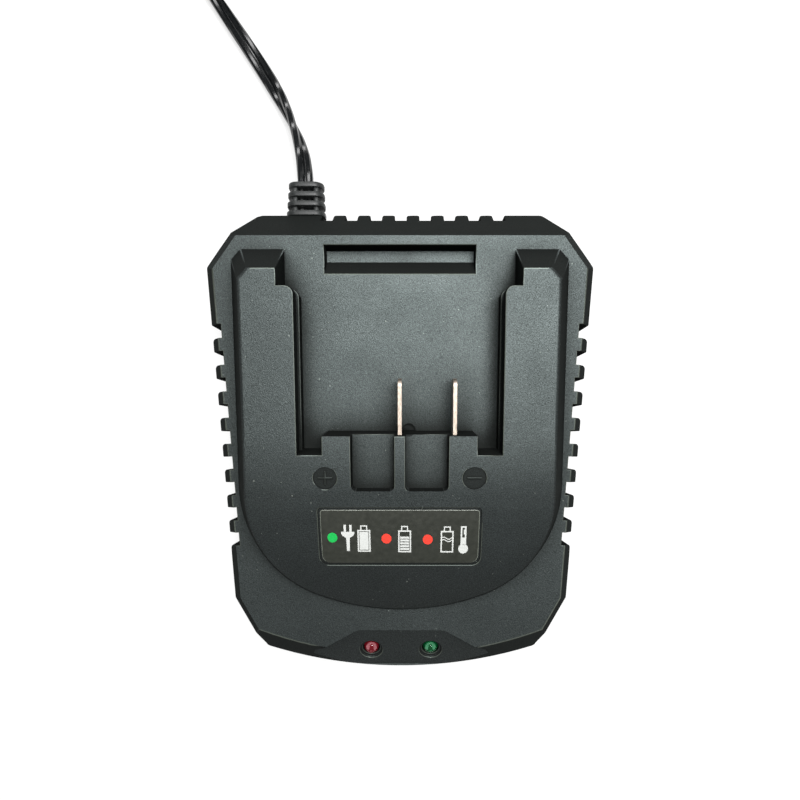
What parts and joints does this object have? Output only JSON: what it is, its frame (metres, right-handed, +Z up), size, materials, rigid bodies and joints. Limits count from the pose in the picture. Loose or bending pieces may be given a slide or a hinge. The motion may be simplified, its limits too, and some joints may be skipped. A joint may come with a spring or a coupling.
{
  "type": "power tool battery charger",
  "caption": "Desktop battery charger for slide-on power tool packs: sloping dock with side rails and contact blades, ribbed flanks, indicator lamps and mains cord.",
  "frame": {"origin": "on the table, under the middle of the housing's outline, where the rubber feet stand", "axes": "+Z up; +Y to the back, where the battery slides in and the cord leaves; +X to the right, seen from the front with the indicator lamps"},
  "size_m": [0.1564, 0.3148, 0.0505],
  "materials": {
    "charger_plastic": "fine-grained matt black moulding",
    "label_film": "printed satin film",
    "tinned_copper": "tin-plated copper, stamped edges",
    "terminal_plastic": "moulded thermoplastic",
    "zinc_steel": "zinc-plated steel",
    "foot_rubber": "matt black rubber",
    "board_laminate": "green coated glass-fibre board",
    "red_lens": "clear red epoxy",
    "green_lens": "clear green epoxy",
    "tinned_wire": "tinned wire",
    "lead_insulation": "PVC insulation",
    "capacitor_film": "yellow box film capacitor",
    "ferrite": "sintered ferrite",
    "glass_tube": "clear tube",
    "device_epoxy": "black moulding compound",
    "can_sleeve": "sleeved aluminium can",
    "varistor_coat": "blue epoxy-coated disc",
    "sink_aluminium": "extruded aluminium",
    "shunt_ceramic": "ceramic-cased resistor",
    "bobbin_plastic": "phenolic moulding",
    "copper_winding": "enamelled copper wire",
    "cord_pvc": "smooth flexible PVC",
    "relief_pvc": "flexible PVC moulded on the cord",
    "tie_plastic": "coated wire tie",
    "prong_brass": "plated brass"
  },
  "bodies": {
    "root": {"upper_housing": "charger_plastic", "lower_housing": "charger_plastic", "indicator_label": "label_film", "contact_blade_center": "tinned_copper", "contact_blade_right": "tinned_copper", "terminal_block": "terminal_plastic", "terminal_screw": "zinc_steel", "housing_screws": "zinc_steel", "board_screws": "zinc_steel", "rubber_feet": "foot_rubber", "circuit_board": "board_laminate", "led_red": "red_lens", "led_green": "green_lens", "led_legs": "tinned_wire", "supply_leads": "lead_insulation", "output_leads": "lead_insulation", "x_capacitor": "capacitor_film", "line_choke": "ferrite", "fuse": "glass_tube", "bridge_rectifier": "device_epoxy", "optocoupler": "device_epoxy", "control_chips": "device_epoxy", "current_shunt": "shunt_ceramic", "bulk_capacitor": "can_sleeve", "output_capacitors": "can_sleeve", "varistor": "varistor_coat", "switch_heat_sink": "sink_aluminium", "switching_transistor": "device_epoxy", "output_heat_sink": "sink_aluminium", "output_diode": "device_epoxy", "transformer_bobbin": "bobbin_plastic", "transformer_winding": "copper_winding", "transformer_core": "ferrite", "strain_relief": "relief_pvc", "power_cord": "cord_pvc", "cord_tail": "cord_pvc", "cord_coil": "cord_pvc", "cord_tie": "tie_plastic", "plug_body": "cord_pvc", "plug_prongs": "prong_brass"}
  },
  "joints": []
}
